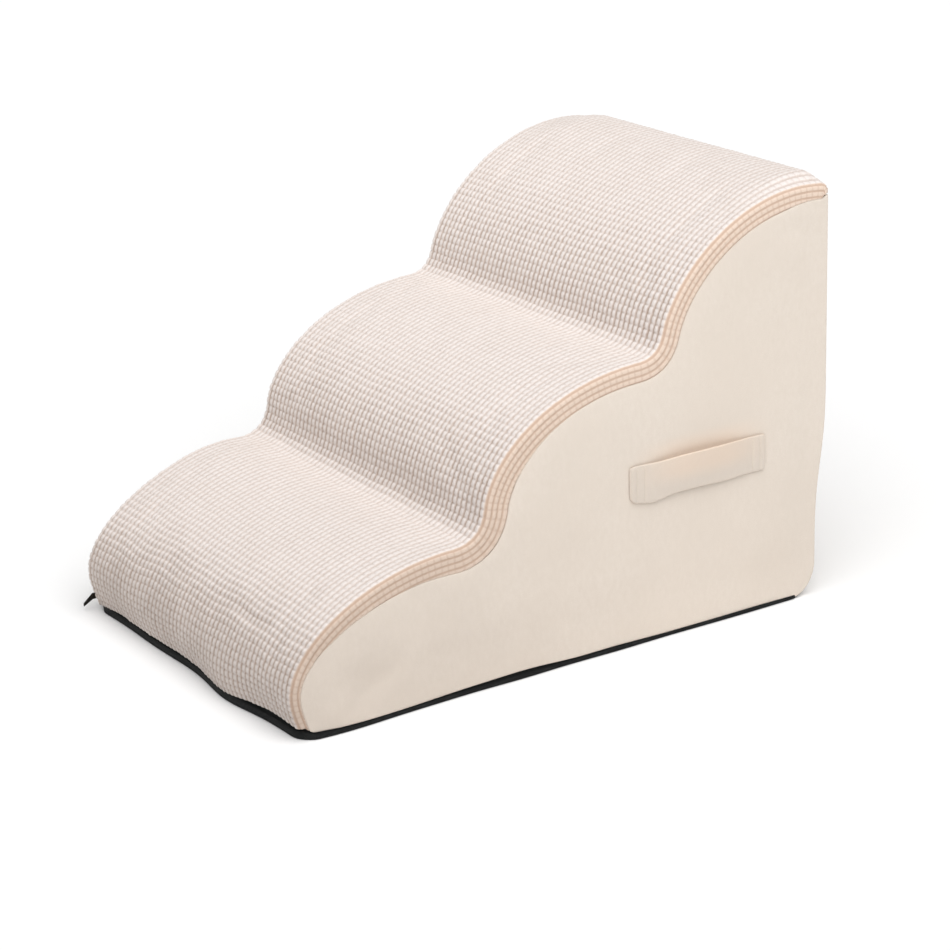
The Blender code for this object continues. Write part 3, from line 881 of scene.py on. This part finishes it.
def strap_skin(y, share, front):
    """x of the strap's outer face at y, for a share of its height. Stitches and the edges draw it in."""
    _, _, step = strap_edges(y, front)
    share = np.asarray(share, float)
    thin = 1 - 0.75 * (1 - float(smooth(step / 0.0026)))
    x = HALF + STRAP_FACE + strap_out(y, share) + STRAP_THICK * thin
    x = x + 0.0003 * (bump(share, 0.5, 0.5) - 1)
    rows = sum(bump(share, row, 0.028) for row in STITCH_ROWS)
    ends = sum(float(bump(step, line, 0.0011)) for line in STITCH_LINES)
    return x - 0.00055 * np.minimum(rows + ends, 1.0)


def make_strap_half(front, soft, material, thread):
    section = strap_section()
    middle = (STRAP_FRONT_Y + STRAP_REAR_Y) / 2
    end = STRAP_FRONT_Y if front else STRAP_REAR_Y
    toward = 1 if front else -1
    long = abs(middle - end)
    steps = np.r_[0, 0.0006, 0.0014, np.arange(0.0022, 0.0200, 0.0008), np.linspace(0.0205, long, 34)]
    rings = []
    for step in steps:
        y = end + toward * step
        low, high, _ = strap_edges(y, front)
        share = section[:, 0]
        inner = HALF + STRAP_FACE + strap_out(y, share)
        x = inner + (strap_skin(y, share, front) - inner) * section[:, 1]
        rings.append(np.stack([x, np.full_like(x, y), low + share * (high - low)], 1))
    anchor = np.array([(HALF, end + toward * 0.009, z) for z in (0.15, 0.18)])
    shift = np.array([SHIFT_SIDES * soft.at(anchor).mean(0)[0], 0, 0])
    which = "front" if front else "rear"
    strap = lofted([ring + shift for ring in rings], f"strap_{which}_half")
    strap.data.materials.append(material)
    sharpen(strap)

    def on_strap(y, share):
        low, high, _ = strap_edges(y, front)
        return np.array([float(strap_skin(y, share, front)), y, low + share * (high - low)]) + shift

    row_steps = np.arange(STITCH_LINES[0], long, 0.0004)
    line_shares = np.linspace(*STITCH_ROWS, 80)
    paths = [[on_strap(end + toward * step, share) for step in row_steps] for share in STITCH_ROWS]
    paths += [[on_strap(end + toward * line, share) for share in line_shares] for line in STITCH_LINES]
    stitches = make_stitches(f"strap_{which}_stitches", paths, (1, 0, 0), thread)
    for piece in (strap, stitches):
        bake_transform(piece)
    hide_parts(*(["handle_end_front", "handle_span"] if front else ["handle_end_rear"]))


def sharpen(obj, degrees=55):
    """Smooth shading, but for edges sharper than an angle."""
    obj.data.shade_smooth()
    obj.data.set_sharp_from_angle(angle=math.radians(degrees))


def make_stitches(name, paths, outward, material, radius=0.00030, long=0.0025, gap=0.0009):
    """Short threads along lines on a surface, each sunk a little at both ends."""
    points, faces = [], []
    outward = np.array(outward, float)
    turn = np.linspace(0, 2 * math.pi, 6, endpoint=False)
    half = ((0.0, -0.00035, 0.55), (0.2, -0.00002, 0.95))  # share of the stitch, lift, share of the radius
    shape = (*half, (0.5, 0.00012, 1.0), *((1 - t, lift, size) for t, lift, size in reversed(half)))
    for path in paths:
        path = np.array(path)
        lengths = lengths_of(path)
        count = max(int(lengths[-1] / (long + gap)), 1)
        for k in range(count):
            first = (k + 0.5) * lengths[-1] / count - long / 2
            base = len(points)
            along = at_length(first + long, lengths, path) - at_length(first, lengths, path)
            along /= np.linalg.norm(along)
            across = np.cross(along, outward)
            for t, lift, size in shape:
                middle = at_length(first + long * t, lengths, path) + outward * lift
                for a in turn:
                    points.append(middle + (across * math.cos(a) + outward * math.sin(a)) * radius * size)
            faces += tube_faces(len(shape), len(turn), base)
    obj = mesh_object(name, points, faces)
    obj.data.materials.append(material)
    return obj


# ---- zip

ZIP_Z = 0.014
ZIP_FROM, ZIP_TO = FRONT + 0.010, FRONT + 0.550
TAPE_FROM, TAPE_TO = FRONT + 0.0050, SLOT_END + 0.0040
TAPE_X = (-0.1967, -0.1957)
COIL_X, COIL_OUT = -0.19815, 0.00078  # middle of a coil, and half its thickness
COIL_OFF, COIL_HIGH = 0.00175, 0.00190  # from the slit to the middle of a coil, and half its width


def make_coil(name, side, node, material):
    """A nylon coil: a flattened spiral along Y. side is +1 above the slit and -1 below it."""
    pitch, wire, around = 0.00125, 0.00028, 12
    turns = int((ZIP_TO - ZIP_FROM) / pitch)
    t = np.arange(0, turns * around + 1) / around
    angle = 2 * math.pi * t
    y = ZIP_FROM + 0.0006 + (t + (0.5 if side < 0 else 0.0)) * (ZIP_TO - ZIP_FROM - 0.0016) / (turns + 0.5)
    z = ZIP_Z + side * (COIL_OFF + COIL_HIGH * np.cos(angle))
    x = COIL_X + COIL_OUT * np.sin(angle)
    path = np.stack([x, y, z], 1)
    along = np.gradient(path, axis=0)
    along /= np.linalg.norm(along, axis=1)[:, None]
    across = np.cross(along, [0.0, 1.0, 0.0])
    across /= np.linalg.norm(across, axis=1)[:, None]
    other = np.cross(along, across)
    turn = np.linspace(0, 2 * math.pi, 5, endpoint=False)
    rings = [path + wire * (np.cos(a) * across + np.sin(a) * other) for a in turn]
    points = np.stack(rings, 1).reshape(-1, 3)
    obj = mesh_object(name, points, tube_faces(len(path), len(turn)))
    finish_piece(obj, material, [node])


def make_tape(name, node, low, high, material):
    y, z = np.meshgrid(np.linspace(TAPE_FROM, TAPE_TO, 140), np.linspace(low, high, 6), indexing="ij")
    wave = 0.00012 * ripple(y, z, 0.03, 61)
    outer, inner = (np.stack([x + wave, y, z], -1).reshape(-1, 3) for x in TAPE_X)
    obj = thicken(name, outer, inner, grid_faces(*y.shape), np.stack([y.ravel(), z.ravel()], 1))
    finish_piece(obj, material, [node])


# ---- materials


class Look:
    """One node material."""

    def __init__(self, name, roughness, specular, metallic=0.0, sheen=0.0, sheen_tint=(1, 1, 1, 1)):
        self.material = bpy.data.materials.new(name)
        self.material.use_nodes = True
        self.tree = self.material.node_tree
        self.shader = self.tree.nodes["Principled BSDF"]
        values = {"Roughness": roughness, "Metallic": metallic, "Sheen Weight": sheen, "Sheen Roughness": 0.5}
        values |= {"Sheen Tint": sheen_tint, "Specular IOR Level": specular}
        for socket, value in values.items():
            self.shader.inputs[socket].default_value = value
        self.place = self.tree.nodes.new("ShaderNodeTexCoord").outputs["Object"]

    def put(self, socket, value):
        if isinstance(value, bpy.types.NodeSocket):
            self.tree.links.new(value, socket)
        else:
            socket.default_value = value

    def add(self, kind, **inputs):
        """A new node. Each keyword names an input and gives a value for it, or a socket to link to it."""
        node = self.tree.nodes.new(kind)
        for name, value in inputs.items():
            self.put(node.inputs[name], value)
        return node

    def maths(self, operation, a, b=0.0, c=0.0, clamp=False):
        node = self.add("ShaderNodeMath")
        node.operation = operation
        node.use_clamp = clamp
        for socket, value in zip(node.inputs, (a, b, c)):
            self.put(socket, value)
        return node.outputs[0]

    def times(self, a, b):
        return self.maths("MULTIPLY", a, b)

    def plus(self, a, b):
        return self.maths("ADD", a, b)

    def away(self, value, middle):
        """How far a value is from a middle one."""
        return self.maths("ABSOLUTE", self.maths("SUBTRACT", value, middle))

    def parts(self, vector):
        return self.add("ShaderNodeSeparateXYZ", Vector=vector).outputs

    def scaled(self, scale):
        return self.add("ShaderNodeMapping", Scale=scale, Vector=self.place).outputs[0]

    def noise(self, scale, detail=3.0, roughness=0.55, place=None):
        values = {"Scale": scale, "Detail": detail, "Roughness": roughness, "Vector": place or self.place}
        return self.add("ShaderNodeTexNoise", **values).outputs["Fac"]

    def ramp(self, value, low, high, to_low=0.0, to_high=1.0):
        node = self.add("ShaderNodeMapRange", Value=value)
        node.interpolation_type = "SMOOTHSTEP"
        for socket, number in zip(node.inputs[1:5], (low, high, to_low, to_high)):
            socket.default_value = number
        return node.outputs["Result"]

    def mix(self, share, a, b):
        node = self.add("ShaderNodeMix")
        node.data_type = "RGBA"
        shades = [socket for socket in node.inputs if socket.type == "RGBA"]
        for socket, value in zip((node.inputs[0], *shades), (share, a, b)):
            self.put(socket, value)
        return next(socket for socket in node.outputs if socket.type == "RGBA")

    def between(self, value, low, high, a, b):
        """The colour a where the value is low, and b where it is high."""
        return self.mix(self.ramp(value, low, high), a, b)

    def upright(self):
        """1 on faces that stand up, and little on faces that lie flat."""
        normal = self.add("ShaderNodeNewGeometry").outputs["Normal"]
        return self.ramp(self.parts(normal)[2], 0.45, 0.95, 1.0, 0.24)

    def painted_floor_shade(self, shade, amount, height):
        """Painted shade: the colour greyed towards the floor, most at the front and on faces that stand up,
        where the floor sends back little light.
        """
        _, y, z = self.parts(self.place)
        low = self.times(self.ramp(z, -height * 0.4, height, 1.0, 0.0), self.upright())
        front = self.ramp(y, FRONT, 0.20, 1.0, 0.5)
        patchy = self.ramp(self.noise(14.0, 3.0), 0.25, 0.75, 0.85, 1.15)
        share = self.times(self.times(low, front), self.times(patchy, amount))
        # Painted shade: mixed towards a dark warm grey, unevenly through the patchy noise.
        return self.mix(share, shade, srgb(108, 92, 82))

    def painted_strap_glow(self):
        """Painted light: a warm glow in a soft patch above and behind the strap, where light let through and
        bounced by the strap falls on the panel.
        """
        x, y, z = self.parts(self.place)
        share = self.ramp(x, 0.19, 0.195, 0.0, 0.30)
        for value, middle, reach in ((y, FRONT + 0.445, 0.088), (z, 0.178, 0.026)):
            share = self.times(share, self.ramp(self.away(value, middle), reach * 0.25, reach, 1.0, 0.0))
        return share

    def colour(self, value):
        self.put(self.shader.inputs["Base Color"], value)

    def let_through(self, tint, share):
        """Lets some light through the cloth."""
        through = self.add("ShaderNodeBsdfTranslucent", Color=tint)
        both = self.add("ShaderNodeMixShader")
        for socket, value in zip(both.inputs, (share, self.shader.outputs[0], through.outputs[0])):
            self.put(socket, value)
        self.put(self.tree.nodes["Material Output"].inputs["Surface"], both.outputs[0])

    def bump(self, height, strength, distance):
        node = self.add("ShaderNodeBump", Strength=strength, Distance=distance, Height=height)
        self.put(self.shader.inputs["Normal"], node.outputs["Normal"])


def make_waffle_look():
    look = Look("waffle_plush", 0.92, 0.15, sheen=0.35, sheen_tint=srgb(255, 244, 232))
    weave = look.add("ShaderNodeUVMap")
    weave.uv_map = "weave"
    cells = look.parts(weave.outputs[0])
    wobble = look.times(look.noise(420.0), 0.16)
    column, row = (
        look.ramp(look.away(look.maths("FRACT", look.plus(look.plus(cell, wobble), 0.42)), 0.5), low, high)
        for cell, low, high in ((cells[0], 0.05, 0.28), (cells[1], 0.03, 0.22))
    )
    tuft = look.maths("MULTIPLY", column, look.maths("MULTIPLY_ADD", row, 0.38, 0.62), clamp=True)
    fuzz = look.noise(1600.0, 4.0, 0.65)
    pile = look.between(look.noise(34.0, 3.0), 0.3, 0.7, srgb(243, 235, 231), srgb(247, 240, 237))
    pile = look.between(fuzz, 0.30, 0.70, srgb(238, 228, 222), pile)
    groove = look.between(look.noise(90.0), 0.35, 0.65, srgb(190, 168, 154), srgb(204, 184, 171))
    # Painted shade: on faces that stand up the grooves keep their dark colour, and on faces that lie flat
    # they are mixed towards the pile, as if light from above filled them.
    flat = look.maths("SUBTRACT", 1.0, look.upright())
    groove = look.mix(look.times(flat, 0.6), groove, pile)
    on_border = look.ramp(look.maths("ABSOLUTE", cells[0]), COLUMNS_HALF - 0.40, COLUMNS_HALF - 0.15)
    border = look.between(fuzz, 0.3, 0.7, srgb(229, 207, 189), srgb(237, 217, 201))
    pile = look.mix(on_border, pile, border)
    groove = look.mix(on_border, groove, srgb(208, 180, 160))
    # Painted shade near the floor, most on faces that stand up.
    look.colour(look.painted_floor_shade(look.mix(tuft, groove, pile), 0.56, 0.42))
    look.bump(look.plus(look.times(fuzz, 0.7), look.noise(520.0, 3.0)), 0.55, 0.0006)
    return look.material


def make_velvet_look(name="plain_velvet", glow=0.0):
    look = Look(name, 0.85, 0.2, sheen=0.45, sheen_tint=srgb(255, 243, 230))
    nap = look.noise(1.0, 4.0, 0.6, look.scaled((210.0, 210.0, 120.0)))
    fibre = look.noise(2400.0, 3.0, 0.6)
    shade = look.between(look.noise(9.0, 2.0), 0.3, 0.7, srgb(226, 215, 203), srgb(230, 220, 209))
    shade = look.between(nap, 0.2, 0.8, srgb(224, 213, 201), shade)
    shade = look.between(fibre, 0.25, 0.6, srgb(218, 206, 193), shade)
    # Painted light: the warm glow round the strap.
    shade = look.mix(look.painted_strap_glow(), shade, srgb(252, 221, 194))
    # Painted shade near the floor, most on faces that stand up.
    look.colour(look.painted_floor_shade(shade, 0.34, 0.34))
    look.bump(look.plus(look.times(fibre, 0.5), look.times(nap, 0.5)), 0.25, 0.0003)
    if glow:
        look.let_through(srgb(255, 232, 206), glow)
    return look.material


def make_woven_look(name, dark, light, threads, depth=0.0003):
    look = Look(name, 0.75, 0.25)
    waves = []
    for axis in "YZX":
        wave = look.add("ShaderNodeTexWave", Scale=threads, Distortion=0.6, Detail=1.0, Vector=look.place)
        wave.bands_direction = axis
        waves.append(wave.outputs["Fac"])
    cross = look.times(look.maths("MAXIMUM", waves[0], waves[1]), waves[2])
    shade = look.between(cross, 0.1, 0.8, dark, light)
    dust = look.ramp(look.noise(60.0, 4.0), 0.55, 0.9, 0.0, 0.25)
    look.colour(look.mix(dust, shade, light))
    look.bump(look.plus(cross, look.noise(900.0)), 0.6, depth)
    return look.material


def make_plain_look(name, shade, other, roughness, metallic=0.0, scale=300.0, depth=0.0001):
    look = Look(name, roughness, 0.4, metallic)
    grain = look.noise(scale, 4.0, 0.6)
    look.colour(look.between(grain, 0.3, 0.75, shade, other))
    look.bump(grain, 0.4, depth)
    return look.material


# ---- stage


def make_floor():
    mesh = bpy.data.meshes.new("floor")
    size = 12.0
    corners = [(-size, -size, 0), (size, -size, 0), (size, size, 0), (-size, size, 0)]
    mesh.from_pydata(corners, [], [(0, 1, 2, 3)])
    material = bpy.data.materials.new("floor")
    material.use_nodes = True
    shader = material.node_tree.nodes["Principled BSDF"]
    shader.inputs["Base Color"].default_value = (0.97, 0.97, 0.97, 1)
    shader.inputs["Roughness"].default_value = 1.0
    shader.inputs["Specular IOR Level"].default_value = 0.0
    mesh.materials.append(material)
    return linked("floor", mesh)


def make_sun(name, towards, strength, angle):
    """A soft sun. towards is the direction from the object to the sun, and angle its width in degrees."""
    data = bpy.data.lights.new(name, "SUN")
    data.energy = strength
    data.angle = math.radians(angle)
    lamp = linked(name, data)
    lamp.rotation_euler = Vector(towards).to_track_quat("Z", "Y").to_euler()
    return lamp


def make_camera():
    yaw, pitch, roll = (math.radians(v) for v in (56.96, 19.32, -1.7145))
    look = Vector((-math.sin(yaw) * math.cos(pitch), math.cos(yaw) * math.cos(pitch), -math.sin(pitch)))
    right = look.cross(Vector((0, 0, 1))).normalized()
    up = right.cross(look)
    across = math.cos(roll) * right + math.sin(roll) * up
    above = -math.sin(roll) * right + math.cos(roll) * up
    matrix = Matrix((across, above, -look)).transposed().to_4x4()
    matrix.translation = (2.2447, -1.4391, 1.0652)
    data = bpy.data.cameras.new("camera")
    data.lens = 109.53
    data.sensor_width = 36.0
    camera = linked("camera", data)
    camera.matrix_world = matrix
    bpy.context.scene.camera = camera
    return camera


def make_stage():
    scene = bpy.context.scene
    scene.view_settings.view_transform = "Standard"
    world = bpy.data.worlds.new("studio")
    world.use_nodes = True
    background = world.node_tree.nodes["Background"]
    background.inputs["Color"].default_value = (1, 1, 1, 1)
    background.inputs["Strength"].default_value = 0.22
    scene.world = world
    make_floor()
    make_camera()
    make_sun("key", (0.45, -0.18, 0.83), 3.05, 75)


def dress_cad(material, *nodes):
    """A material for CAD nodes that stay in sight."""
    for node in nodes:
        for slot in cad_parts[node].material_slots:
            slot.material = material


def main():
    soft = relax_cover()
    waffle = make_waffle_look()
    velvet = make_velvet_look()
    strap_velvet = make_velvet_look("strap_velvet", 0.10)
    black = make_woven_look("antislip_fabric", srgb(11, 12, 12), srgb(26, 28, 28), 420.0)
    rubber = make_plain_look("grip_rubber", srgb(22, 23, 23), srgb(34, 35, 35), 0.6)
    tape = make_woven_look("zip_tape", srgb(34, 34, 37), srgb(58, 58, 62), 500.0, 0.00015)
    nylon = make_plain_look("zip_coil", srgb(44, 44, 48), srgb(66, 66, 70), 0.35)
    metal = make_plain_look("zip_metal", srgb(52, 50, 48), srgb(74, 72, 70), 0.35, 1.0, 700.0, 0.00003)
    foam = make_plain_look("foam", srgb(236, 222, 170), srgb(246, 236, 196), 0.95, scale=900.0, depth=0.0006)
    thread = make_plain_look("thread", srgb(214, 198, 182), srgb(232, 219, 205), 0.7, scale=2500.0)

    make_tread_fabric(soft, waffle)
    for side in (-1, 1):
        make_side_fabric(side, soft, velvet)
    make_back_fabric(soft, velvet)
    make_foam_block(foam)
    make_grip_dots(make_base_fabric(black), rubber)
    for front in (True, False):
        make_strap_half(front, soft, strap_velvet, thread)
    make_coil("coil_upper", 1, "zip_coil_upper", nylon)
    make_coil("coil_lower", -1, "zip_coil_lower", nylon)
    make_tape("tape_upper", "zip_tape_upper", 0.0152, 0.030, tape)
    make_tape("tape_lower", "zip_tape_lower", 0.0026, 0.0128, tape)
    dress_cad(metal, "zip_slider", "zip_pull", "zip_top_stop_upper", "zip_top_stop_lower", "zip_bottom_stop")
    make_stage()


main()
